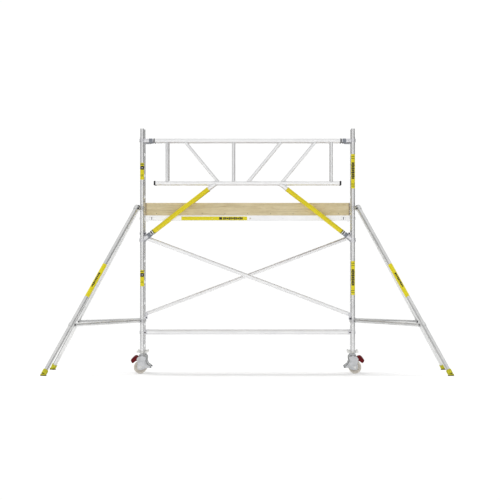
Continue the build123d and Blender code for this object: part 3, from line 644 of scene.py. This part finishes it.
# moulded caps on the lower rails' ends
capLook = {"end": 1.105, "collar": 0.013, "lip": 0.0072}


def railCaps():
    pile = Pile()
    long = capLook["collar"] + capLook["lip"]
    profile = [(0, postR + 0.0001), (0.0006, postR + 0.0011), (long - 0.002, postR + 0.0011),
               (long, postR - 0.0008), (long + 0.0012, postR - 0.006), (long + 0.0012, 0.004)]
    for face in (-1, 1):
        for side in (-1, 1):
            tip = Vector((side * (capLook["end"] - capLook["collar"]), face * halfWidth, railLowZ))
            lathe(pile, tip, (side, 0, 0), profile, 44, 0)
    pile.build("railCaps", "tower", [mats["black_plastic"]])


railCaps()

# strut sleeves: end bands and grip rings
sleeveLook = {"start": 0.158, "length": 0.832, "band": 0.014, "radius": 0.0262, "rings": 26}


def sleeveBands():
    pile = Pile()
    start, length, band = sleeveLook["start"], sleeveLook["length"], sleeveLook["band"]
    radius, rings = sleeveLook["radius"], sleeveLook["rings"]
    profile = [(0, 0.0245), (0, radius + 0.0006), (0.002, radius + 0.0010), (band - 0.002, radius + 0.0010),
               (band, radius + 0.0002)]
    for face in (-1, 1):
        for side in (-1, 1):
            foot = Vector((side * halfBay, face * halfWidth, webs["strutTop"]))
            top = Vector((side * webs["strutFoot"], face * halfWidth, railLowZ))
            way = (top - foot).normalized()
            lathe(pile, foot + way * start, way, profile, 40, 0, ends=False)
            lathe(pile, foot + way * (start + length - band), way, profile, 40, 1, ends=False)
            # moulded grip rings along the sleeve
            for k in range(1, rings):
                place = start + band + (length - 2 * band) * k / rings
                lathe(pile, foot + way * (place - 0.0009), way,
                      [(0, 0.0259), (0.0009, 0.0265), (0.0018, 0.0259)], 40, 1, ends=False)
    pile.build("sleeveBands", "tower", [labelOlive, mats["yellow_plastic"]])


sleeveBands()

# platform beams: label, rivets, slots and a plug
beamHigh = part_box("platform_frame")[1]
beamLook = {"labelFrom": -0.786, "labelTo": -0.005, "labelLow": 1.818, "labelHigh": 1.863,
            "markFrom": -0.289, "markTo": -0.054, "blockFrom": -0.337, "blockTo": -0.302,
            "bars": 11, "slotX": 1.137, "slotZ": 1.841, "plugX": 0.032, "plugZ": 1.840, "studX": 0.42,
            "studZ": 1.842}


def beamDetails():
    pile = Pile()
    for face in (-1, 1):
        y = face * beamHigh.y
        flip = -face

        def sheet(x0, x1, z0, z1, lift0, lift1, mat):
            bevelBlock(pile, (min(flip * x0, flip * x1), min(y + face * lift0, y + face * lift1), z0),
                       (max(flip * x0, flip * x1), max(y + face * lift0, y + face * lift1), z1), 0.00012, mat)
        low, high = beamLook["labelLow"], beamLook["labelHigh"]
        midZ = (low + high) / 2
        sheet(beamLook["labelFrom"], beamLook["labelTo"], low, high, 0.0001, 0.0006, 0)
        # a plain row of bars of uneven height instead of lettering
        span = (beamLook["markTo"] - beamLook["markFrom"]) / beamLook["bars"]
        for k in range(beamLook["bars"]):
            x0 = beamLook["markFrom"] + k * span
            tall = 0.030 - 0.005 * (k % 3)
            sheet(x0, x0 + span * 0.80, midZ - tall / 2, midZ + tall / 2, 0.0006, 0.0009, 1)
        sheet(beamLook["blockFrom"], beamLook["blockTo"], midZ - 0.015, midZ + 0.015, 0.0006, 0.0009, 1)
        for side in (-1, 1):
            x = side * beamLook["slotX"]
            # each slot is a dark block on the beam: painted shade standing in for the opening
            outer, inner = y + face * 0.0016, y - face * 0.0004
            bevelBlock(pile, (x - 0.004, min(outer, inner), beamLook["slotZ"] - 0.0175),
                       (x + 0.004, max(outer, inner), beamLook["slotZ"] + 0.0175), 0.0006, 2)
            for dx in (-0.022, 0.022):
                for dz in (-0.014, 0.014):
                    rivet(pile, Vector((x + dx, y, beamLook["slotZ"] + dz)), (0, face, 0), 0.0042, 3)
            rivet(pile, Vector((side * beamLook["studX"], y, beamLook["studZ"])), (0, face, 0), 0.0045, 3)
        lathe(pile, (flip * beamLook["plugX"], y - face * 0.0005, beamLook["plugZ"]), (0, face, 0),
              [(0, 0.0105), (0.0012, 0.0105), (0.0022, 0.0088), (0.0024, 0.002)], 26, 4)
    pile.build("beamDetails", "tower",
               [labelYellow, labelBlack, darkSteelAndSlotShade, mats["plated_steel"], mats["wheel_nylon"]])


beamDetails()

# toe boards: corner straps and studs
strapLook = {"long": 0.060, "return": 0.013, "thick": 0.0015, "tall": 0.146, "studs": 9, "studRun": 2.16,
             "studUp": 0.022}


def toeStraps():
    pile = Pile()
    thick, long, back = strapLook["thick"], strapLook["long"], strapLook["return"]
    z0 = toeLow.z + 0.002
    top = z0 + strapLook["tall"]
    for side, face in posts:
        x = side * toeHigh.x
        y = face * toeHigh.y
        # a bent strap round each outer corner
        bevelBlock(pile, (min(x, x - side * back), min(y, y + face * thick), z0),
                   (max(x, x - side * back), max(y, y + face * thick), top), 0.0005, 2)
        bevelBlock(pile, (min(x, x + side * thick), min(y + face * thick, y - face * long), z0),
                   (max(x, x + side * thick), max(y + face * thick, y - face * long), top), 0.0005, 0)
        for k in range(3):
            z = z0 + 0.018 + k * (strapLook["tall"] - 0.036) / 2
            rivet(pile, Vector((x + side * thick, y - face * 0.042, z)), (side, 0, 0), 0.0045, 1)
    # studs that hold the long boards to the deck
    for face in (-1, 1):
        for k in range(strapLook["studs"]):
            spot = Vector((strapLook["studRun"] * (k / (strapLook["studs"] - 1) - 0.5), face * toeHigh.y,
                           toeLow.z + strapLook["studUp"]))
            rivet(pile, spot, (0, face, 0), 0.0038, 1)
    pile.build("toeStraps", "tower", [mats["plated_steel"], darkSteelAndSlotShade, edgeWood])


toeStraps()

# deck screws
deckLook = {"inset": 0.018, "screw": 0.0046}


def deckScrews():
    pile = Pile()

    def screw(x, y):
        size = deckLook["screw"]
        lathe(pile, (x, y, deckTop - 0.0002), (0, 0, 1),
              [(0, size), (0.0005, size), (0.0009, size * 0.7), (0.0005, 0.0018)], 14, 0)
    edgeX = deckHigh.x - deckLook["inset"]
    edgeY = deckHigh.y - deckLook["inset"] - 0.02
    for k in range(15):
        x = -edgeX + 2 * edgeX * k / 14
        for face in (-1, 1):
            screw(x, face * edgeY)
    for k in range(1, 4):
        y = -edgeY + 2 * edgeY * k / 4
        for x in (-edgeX, edgeX):
            screw(x, y)
    pile.build("deckScrews", "tower", [mats["plated_steel"]])


deckScrews()
print("platform dressed")

# screw jacks: a real thread on each stem
jackLook = {"radius": 0.018, "lead": 0.008, "depth": 0.0011, "step": 0.001, "around": 40, "plate": 0.008}


def jackThread(corner):
    low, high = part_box("jack_" + corner)
    centre = (low + high) / 2
    plateTop = low.z + jackLook["plate"]
    pile = Pile()
    lathe(pile, (centre.x, centre.y, low.z), (0, 0, 1), [(0, 0.0295), (0.001, 0.030), (0.007, 0.030),
                                                         (jackLook["plate"], 0.0292)], 48, 0)
    rows = int((high.z - plateTop) / jackLook["step"])
    around = jackLook["around"]
    verts, faces = [], []
    for i in range(rows + 1):
        z = plateTop - 0.0004 + i * (high.z - plateTop) / rows
        for k in range(around):
            turn = k / around
            wave = (z / jackLook["lead"] - turn) % 1.0
            # flat crest, sloped flanks, flat root
            share = min(max((abs(wave - 0.5) - 0.14) / 0.14, 0), 1)
            # the last turns stand a little thinner
            thin = 0.001 if i >= rows - 3 else 0
            r = jackLook["radius"] - jackLook["depth"] * (1 - share) - thin
            a = 2 * pi * turn
            verts.append(Vector((centre.x + cos(a) * r, centre.y + sin(a) * r, z)))
    for i in range(rows):
        for k in range(around):
            n = (k + 1) % around
            faces.append((i * around + k, i * around + n, (i + 1) * around + n, (i + 1) * around + k))
    faces.append(tuple(rows * around + k for k in range(around)))
    faces.append(tuple(range(around - 1, -1, -1)))
    pile.add(verts, faces, 0)
    piece = pile.build("jackThread_" + corner, "jack_" + corner, [mats["stem_steel"]])
    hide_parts("jack_" + corner)


for corner in corners:
    jackThread(corner)
print("threads cut")

# casters
casterLook = {"cheekOuter": 0.035, "axleOut": 0.025, "axleZ": 0.075, "pedalOut": 0.052, "pedalZ": 0.168,
              "tipIn": -0.0965, "tieZ": 0.074, "raceZ": 0.205}


def casterDetails(corner):
    side, face = corners[corner]
    post = Vector((side * halfBay, face * halfWidth, 0))
    pile = Pile()

    def spot(out, across, z):
        return post + Vector((side * out, across, z))
    for way in (-1, 1):
        skin = way * casterLook["cheekOuter"]
        d = (0, way, 0)
        # axle nut, pedal rivet, cheek rivets
        boltHead(pile, spot(casterLook["axleOut"], way * 0.0352, casterLook["axleZ"]), d, 0.0125, 0.0085, 1)
        lathe(pile, spot(casterLook["pedalOut"], skin, casterLook["pedalZ"]), d,
              [(0, 0.0085), (0.0012, 0.0085), (0.003, 0.0068), (0.0036, 0.003)], 22, 1)
        for out, z in ((-0.034, 0.186), (0.030, 0.188), (-0.036, 0.150)):
            rivet(pile, spot(out, skin, z), d, 0.0045, 0)
        # pressed rib that follows the cheek
        rib = [(-0.040, 0.160), (-0.036, 0.132), (-0.044, 0.108), (-0.062, 0.092)]
        for (o0, z0), (o1, z1) in zip(rib, rib[1:]):
            rod(pile, spot(o0, skin, z0), spot(o1, skin, z1), 0.0026, 10)
        # dark strip along the top and the inner side of the plate: painted shade of the plate's edges
        edge = [(0.050, 0.196), (0.034, 0.205), (-0.046, 0.205), (-0.050, 0.180), (-0.044, 0.150),
                (-0.062, 0.110), (-0.098, 0.084), (-0.092, 0.068)]
        for (o0, z0), (o1, z1) in zip(edge, edge[1:]):
            a = spot(o0, skin - way * 0.001, z0)
            b = spot(o1, skin - way * 0.001, z1)
            lathe(pile, a, b - a, [(-0.001, 0.0020), (0, 0.0027), ((b - a).length, 0.0027),
                                   ((b - a).length + 0.001, 0.0020)], 10, 4)
    # swivel race: two rings with a dark seal between
    lathe(pile, spot(0, 0, casterLook["raceZ"] + 0.0015), (0, 0, 1),
          [(0, 0.0375), (0.0002, 0.0400), (0.0045, 0.0405), (0.006, 0.0392), (0.0062, 0.0378)], 44, 0,
          ends=False)
    lathe(pile, spot(0, 0, casterLook["raceZ"] + 0.0085), (0, 0, 1),
          [(0, 0.0376), (0.0002, 0.0388), (0.0030, 0.0388), (0.0032, 0.0376)], 44, 2, ends=False)
    # release tip on the tie bar, low on the inner side
    tip, tieZ = casterLook["tipIn"], casterLook["tieZ"]
    bevelBlock(pile, spot(tip, -0.0215, tieZ) - Vector((0.0115, 0, 0.007)),
               spot(tip, 0.0215, tieZ) + Vector((0.0115, 0, 0.006)), 0.003, 3)
    for k in range(4):
        y = -0.0165 + k * 0.011
        bevelBlock(pile, spot(tip, y - 0.0016, tieZ + 0.0058) - Vector((0.009, 0, 0)),
                   spot(tip, y + 0.0016, tieZ + 0.0078) + Vector((0.009, 0, 0)), 0.0006, 2)
    pile.build("casterDetails_" + corner, "caster_" + corner,
               [mats["caster_steel"], mats["plated_steel"], mats["black_plastic"], mats["grey_plastic"],
                edgeShadeSteel])


def wheelDetails(corner):
    side, face = corners[corner]
    centre = Vector((side * (halfBay + casterLook["axleOut"]), face * halfWidth, casterLook["axleZ"]))
    pile = Pile()
    for way in (-1, 1):
        d = Vector((0, way, 0))
        # rim ring, thread guard and eight moulded ribs in the dish
        lathe(pile, centre + d * 0.0212, d,
              [(0, 0.0600), (0.0012, 0.0602), (0.0016, 0.0622), (0.0012, 0.0642), (0, 0.0645)], 64, 0,
              ends=False)
        lathe(pile, centre + d * 0.0222, d,
              [(0, 0.0245), (0.0016, 0.0240), (0.0022, 0.0215), (0.0022, 0.0180)], 40, 1, ends=False)
        for k in range(8):
            a = pi * k / 4 + 0.2
            ray = Vector((cos(a), 0, sin(a)))
            near = centre + d * 0.0158 + ray * 0.025
            far = centre + d * 0.0158 + ray * 0.055
            lathe(pile, near, far - near, [(0, 0.0030), ((far - near).length, 0.0024)], 10, 0)
    # two thin wear lines round the tread
    for y in (-0.009, 0.009):
        lathe(pile, centre + Vector((0, y - 0.0006, 0)), (0, 1, 0),
              [(0, 0.07490), (0.0006, 0.07515), (0.0012, 0.07490)], 96, 0, ends=False)
    pile.build("wheelDetails_" + corner, "wheel_" + corner,
               [mats["wheel_nylon"], mats["grey_plastic"]])


def pedalDetails(corner):
    side, face = corners[corner]
    post = Vector((side * halfBay, face * halfWidth, 0))
    pile = Pile()
    # tread ribs across the pressing face, and side webs
    outline = [(0.134, 0.146), (0.131, 0.166), (0.112, 0.190), (0.092, 0.203), (0.066, 0.199)]
    for (o0, z0), (o1, z1) in zip(outline, outline[1:]):
        for share in (0.25, 0.5, 0.75):
            o = o0 + (o1 - o0) * share
            z = z0 + (z1 - z0) * share
            a = post + Vector((side * o, -0.024, z))
            lathe(pile, a, (0, 1, 0), [(0, 0.0012), (0.001, 0.0020), (0.047, 0.0020), (0.048, 0.0012)], 10, 0)
    for way in (-1, 1):
        y = way * 0.0272
        web = [(0.060, 0.186), (0.090, 0.193), (0.118, 0.170), (0.122, 0.146), (0.108, 0.134), (0.084, 0.152)]
        for (o0, z0), (o1, z1) in zip(web, web[1:] + web[:1]):
            rod(pile, post + Vector((side * o0, y, z0)), post + Vector((side * o1, y, z1)), 0.0014, 8)
    pile.build("pedalRibs_" + corner, "pedal_" + corner, [mats["red_plastic"]])


for corner in corners:
    casterDetails(corner)
    wheelDetails(corner)
    pedalDetails(corner)
print("casters dressed")

# outriggers
riggerLook = {"labelMiddle": 1.105, "labelLong": 0.480, "bars": 9, "topRadius": 0.079, "topZ": 1.985,
              "footRadius": 1.609, "endZ": 0.022, "highZ": 1.960, "lowZ": 0.619, "armZ": 0.629,
              "armFall": 0.0358, "armStart": 0.048}


def legRadius(z):
    slope = (riggerLook["footRadius"] - riggerLook["topRadius"]) / riggerLook["topZ"]
    return riggerLook["topRadius"] + (riggerLook["topZ"] - z) * slope


def armHeight(radius):
    return riggerLook["armZ"] - riggerLook["armFall"] * radius


def outriggerDetails(corner):
    side, face = corners[corner]
    root = sqrt(0.5)  # the outrigger stands out at 45 degrees

    def radial(radius, across, z):
        return Vector((side * (halfBay + radius * root) - side * across * root,
                       face * (halfWidth + radius * root) + face * across * root, z))
    sideways = Vector((-side * root, face * root, 0))
    top = radial(riggerLook["topRadius"], 0, riggerLook["topZ"])
    foot = radial(legRadius(riggerLook["endZ"]), 0, riggerLook["endZ"])
    down = (foot - top).normalized()
    pile = Pile()
    # label on the face turned to the front or back
    labelMid = radial(legRadius(riggerLook["labelMiddle"]), 0, riggerLook["labelMiddle"])
    start = labelMid - down * riggerLook["labelLong"] / 2
    front = Vector((0, face, 0))
    curvedPatch(pile, start, down, front, postR + 0.0002, riggerLook["labelLong"], radians(80),
                corner=0.0015)
    for k in range(riggerLook["bars"]):
        curvedPatch(pile, start + down * (0.135 + k * 0.0235), down, front, postR + 0.0007, 0.0185,
                    radians(28 - 5 * (k % 3)), 1, shiftAngle=radians(16) * (1 if side > 0 else -1) * face)
    # clamp bolts with wing nuts at both couplers
    for radius, z, half in ((0.046, riggerLook["highZ"], 0.033), (0.040, riggerLook["lowZ"], 0.030),
                            (legRadius(riggerLook["highZ"]), riggerLook["highZ"], 0.0394)):
        for way in (-1, 1):
            end = radial(radius, way * half, z)
            boltHead(pile, end - sideways * way * 0.004, sideways * way, 0.0088, 0.0075, 2)
        if half < 0.0335:
            knob = radial(radius, half, z) + sideways * 0.004
            lathe(pile, knob, sideways, [(0, 0.0095), (0.010, 0.0088), (0.012, 0.006)], 20, 3)
            for way in (-1, 1):
                lathe(pile, knob + sideways * 0.005, (Vector((0, 0, way)) + sideways * 0.35).normalized(),
                      [(0.004, 0.0042), (0.018, 0.0050), (0.030, 0.0046), (0.033, 0.0028)], 12, 3)
    # knee: pin heads and dark pivots
    kneeZ = armHeight(legRadius(riggerLook["armZ"]))
    knee = legRadius(kneeZ)
    for way in (-1, 1):
        end = radial(knee - 0.045, way * 0.023, kneeZ)
        lathe(pile, end, sideways * way,
              [(0, 0.0098), (0.0020, 0.0098), (0.0045, 0.0076), (0.0052, 0.003)], 22, 2)
    # end plug in the leg's upper end
    lathe(pile, top + down * 0.010, -down, [(0, 0.0215), (0.0098, 0.0215), (0.0100, 0.0250), (0.0130, 0.0250),
                                             (0.0155, 0.0215), (0.0160, 0.008)], 36, 4)
    # seams where arm and leg enter the castings
    armA = radial(riggerLook["armStart"], 0, armHeight(riggerLook["armStart"]))
    armB = radial(knee - 0.070, 0, armHeight(knee - 0.070))
    along = (armB - armA).normalized()
    for place in (armA, armB - along * 0.003):
        lathe(pile, place, along, [(0, 0.0208), (0.0003, 0.0218), (0.0027, 0.0218), (0.003, 0.0208)], 36, 3,
              ends=False)
    pile.build("outriggerDetails_" + corner, "outrigger_" + corner,
               [labelYellow, labelBlack, darkSteelAndSlotShade, mats["cast_aluminium"], mats["black_plastic"]])
    # foot: dark ribbed sole and moulded rings on the boot
    pile = Pile()
    centre = radial(legRadius(riggerLook["endZ"]) + 0.006, 0, 0)
    lathe(pile, centre + Vector((0, 0, 0.0002)), (0, 0, 1),
          [(0, 0.0335), (0.0006, 0.0362), (0.004, 0.0368), (0.0052, 0.0355), (0.0064, 0.0368),
           (0.0098, 0.0368), (0.0110, 0.0355), (0.0122, 0.0366), (0.0150, 0.0364), (0.0156, 0.0352)], 48, 0)
    for place in (0.014, 0.028):
        ringAt = foot - down * (0.016 + place)
        lathe(pile, ringAt, -down, [(0, 0.0312), (0.0008, 0.0328), (0.0034, 0.0328), (0.0042, 0.0312)], 44, 1,
              ends=False)
    pile.build("footSole_" + corner, "outrigger_" + corner,
               [oliveRubber, mats["yellow_rubber"]])


for corner in corners:
    outriggerDetails(corner)
print("outriggers dressed")

# hatch: grip lining and hinge screws
hatchLook = {"gripX": -0.760, "gripY": -0.204, "long": 0.060, "wide": 0.016, "hingeY": 0.249, "hingeX": 0.15}


def hatchDetails():
    pile = Pile()
    low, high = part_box("hatch")
    middle = (low.x + high.x) / 2
    for x0 in (-hatchLook["hingeX"], hatchLook["hingeX"]):
        for dx in (-0.005, 0.005):
            for dy in (-0.014, -0.030):
                lathe(pile, (middle + x0 + dx, hatchLook["hingeY"] + dy, deckTop + 0.0028), (0, 0, 1),
                      [(0, 0.0024), (0.0006, 0.0024), (0.0012, 0.0014)], 12, 0)
    # raised lip round the hand slot
    lip = []
    reach = hatchLook["long"] - hatchLook["wide"]
    turnR = hatchLook["wide"] + 0.002
    for k in range(40):
        a = 2 * pi * k / 40
        lip.append(Vector((hatchLook["gripX"] + (reach if cos(a) > 0 else -reach) + cos(a) * turnR,
                           hatchLook["gripY"] + sin(a) * turnR, deckTop + 0.0006)))
    ringLoop(pile, lip, 0.0016, 8, 1)
    pile.build("hatchDetails", "hatch", [mats["plated_steel"], mats["black_plastic"]])


hatchDetails()

# floor, light and camera
stageLook = {"floorRadius": 6.5, "floorGlow": 0.10, "floorTone": 0.86, "sky": 0.86,
             # round the horizon: 0 and 1 are left, 0.25 front, 0.5 right, 0.75 behind
             "shades": [(0.0, 0.40), (0.17, 0.42), (0.205, 1.2), (0.29, 1.2), (0.33, 0.30), (0.62, 0.26),
                        (0.69, 1.02), (0.81, 1.02), (0.86, 0.40)],
             "lamp": 1.35, "lampSpread": 28, "lampTilt": (-27, -7), "lens": 437.0, "clipEnd": 400.0,
             "eye": (0.325, -72.375, 1.774), "aim": (0.029, -0.375, 1.4655)}


def makeFloor():
    # a round sheet; beyond it the studio's own white goes on
    size = stageLook["floorRadius"]
    mesh = bpy.data.meshes.new("floor")
    rim = [(size * cos(2 * pi * k / 96), size * sin(2 * pi * k / 96), 0) for k in range(96)]
    mesh.from_pydata(rim, [], [tuple(range(96))])
    obj = bpy.data.objects.new("floor", mesh)
    bpy.context.scene.collection.objects.link(obj)
    mat, tree, bsdf = newMat("paleFloor")
    mottle = noiseAt(tree, coords(tree), 0.6, 3, 0.5)
    tone = stageLook["floorTone"]
    shades = [(0.3, (tone, tone, tone, 1)), (0.7, (tone + 0.01, tone + 0.01, tone + 0.01, 1))]
    tree.links.new(rampOf(tree, mottle, shades), bsdf.inputs["Base Color"])
    bsdf.inputs["Roughness"].default_value = 1.0
    bsdf.inputs["Specular IOR Level"].default_value = 0.0
    bsdf.inputs["Emission Color"].default_value = (1, 1, 1, 1)
    bsdf.inputs["Emission Strength"].default_value = stageLook["floorGlow"]
    mesh.materials.append(mat)
    obj.location.z = -0.0002


def makeLight():
    world = bpy.data.worlds.new("studio")
    bpy.context.scene.world = world
    world.use_nodes = True
    tree = world.node_tree
    back = tree.nodes["Background"]
    tex = tree.nodes.new("ShaderNodeTexCoord")
    ring = tree.nodes.new("ShaderNodeTexGradient")
    ring.gradient_type = "RADIAL"
    tree.links.new(tex.outputs["Generated"], ring.inputs["Vector"])
    around = rampOf(tree, ring.outputs["Fac"], [(p, (v, v, v, 1)) for p, v in stageLook["shades"]])
    split = tree.nodes.new("ShaderNodeSeparateXYZ")
    tree.links.new(tex.outputs["Generated"], split.inputs[0])
    # higher up the studio is one even pale tone
    above = rangeOf(tree, split.outputs["Z"], 0.0, 1.0, 0.36, 0.70)
    sky = stageLook["sky"]
    tree.links.new(mixRgb(tree, above, around, (sky, sky, sky, 1)), back.inputs["Color"])
    back.inputs["Strength"].default_value = 1.0
    # the backdrop itself is plain white
    plain = tree.nodes.new("ShaderNodeBackground")
    plain.inputs["Color"].default_value = (1.03, 1.03, 1.03, 1)
    path = tree.nodes.new("ShaderNodeLightPath")
    choose = tree.nodes.new("ShaderNodeMixShader")
    tree.links.new(path.outputs["Is Camera Ray"], choose.inputs[0])
    tree.links.new(back.outputs[0], choose.inputs[1])
    tree.links.new(plain.outputs[0], choose.inputs[2])
    tree.links.new(choose.outputs[0], tree.nodes["World Output"].inputs["Surface"])
    # a wide lamp overhead gives the faint shadow on the floor
    lamp = bpy.data.lights.new("overhead", "SUN")
    lamp.energy = stageLook["lamp"]
    lamp.angle = radians(stageLook["lampSpread"])
    lampObject = bpy.data.objects.new("overhead", lamp)
    lampObject.visible_glossy = False
    lampObject.rotation_euler = [radians(turn) for turn in stageLook["lampTilt"] + (0,)]
    bpy.context.scene.collection.objects.link(lampObject)


def makeCamera():
    data = bpy.data.cameras.new("mainCamera")
    data.lens = stageLook["lens"]
    data.sensor_width = 36
    data.clip_end = stageLook["clipEnd"]
    data.clip_start = 0.1
    data.dof.use_dof = False
    obj = bpy.data.objects.new("mainCamera", data)
    eye = Vector(stageLook["eye"])
    obj.location = eye
    obj.rotation_euler = (Vector(stageLook["aim"]) - eye).to_track_quat("-Z", "Y").to_euler()
    bpy.context.scene.collection.objects.link(obj)
    bpy.context.scene.camera = obj


makeFloor()
makeLight()
makeCamera()
scene = bpy.context.scene
scene.view_settings.view_transform = "Standard"
scene.view_settings.look = "None"
print("stage set")
